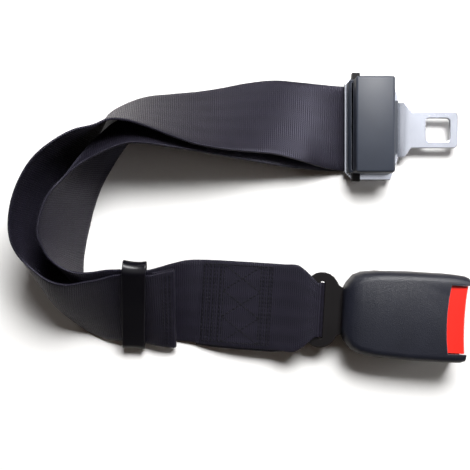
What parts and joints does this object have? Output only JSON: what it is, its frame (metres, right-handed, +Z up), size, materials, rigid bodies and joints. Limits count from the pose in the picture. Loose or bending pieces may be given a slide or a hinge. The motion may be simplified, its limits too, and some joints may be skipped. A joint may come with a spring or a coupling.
{
  "type": "seat belt extender",
  "caption": "Black webbing extender with a steel tongue and strap adjuster at one end and a push-button buckle at the other, laid in a banked U-turn.",
  "frame": {"origin": "middle of the outline seen from above, on the surface that the extender lies on", "axes": "+X from the strap's U-turn towards the tongue and the buckle, +Y from the buckle's side to the tongue's side, +Z up"},
  "size_m": [0.2448, 0.1599, 0.0488],
  "materials": {
    "strap": "satin woven webbing",
    "thread": "matt thread",
    "band": "matt",
    "bright_steel": "bright plated",
    "black_steel": "black satin",
    "zinc_steel": "plain plated",
    "cover": "fine satin",
    "housing": "fine leather grain",
    "button": "smooth",
    "slider": "smooth"
  },
  "bodies": {
    "strap": {"webbing": "strap", "box_stitching": "thread", "hem_stitching": "thread", "tongue_plate": "bright_steel", "adjuster_cover": "cover"},
    "keeper": {"keeper": "band"},
    "lock_bar": {"lock_bar": "black_steel"},
    "buckle": {"anchor_plate": "black_steel", "buckle_frame": "zinc_steel", "rivet_front": "zinc_steel", "rivet_rear": "zinc_steel", "upper_housing": "housing", "lower_housing": "housing", "latch_pin": "zinc_steel", "latch_spring": "zinc_steel", "button_spring_near": "zinc_steel", "button_spring_far": "zinc_steel", "ejector_spring": "zinc_steel"},
    "button": {"release_button": "button"},
    "latch": {"latch": "zinc_steel"},
    "ejector": {"ejector": "slider"}
  },
  "joints": [
    {"name": "buckle_tilt", "type": "hinge", "parent": "strap", "child": "buckle", "pos_m": [0.0404, -0.0518, 0.012], "axis": [-0.0593, -0.9982, 0], "range_deg": [0, 20]},
    {"name": "button_press", "type": "slide", "parent": "buckle", "child": "button", "axis": [-0.9982, 0.0593, 0], "range_m": [0, 0.005], "stiffness_N_per_m": 400, "springref_m": -0.003, "deforming": ["button_spring_near", "button_spring_far"]},
    {"name": "ejector_slide", "type": "slide", "parent": "buckle", "child": "ejector", "axis": [-0.9982, 0.0593, 0], "range_m": [0, 0.01], "stiffness_N_per_m": 250, "springref_m": -0.004, "deforming": ["ejector_spring"]},
    {"name": "latch_turn", "type": "hinge", "parent": "buckle", "child": "latch", "pos_m": [0.07684, -0.05396, 0.018], "axis": [0.0593, 0.9982, 0], "range_deg": [0, 9.2], "deforming": ["latch_spring"]},
    {"name": "keeper_slide", "type": "slide", "parent": "strap", "child": "keeper", "axis": [1, 0, 0], "range_m": [-0.0016, 0.0004]},
    {"name": "lock_bar_slide", "type": "slide", "parent": "strap", "child": "lock_bar", "axis": [1, 0, 0], "range_m": [0, 0.0015]}
  ],
  "couplings": [
    {"joint": "latch_turn", "follows": "ejector_slide", "rad_per_m": 15.7}
  ]
}
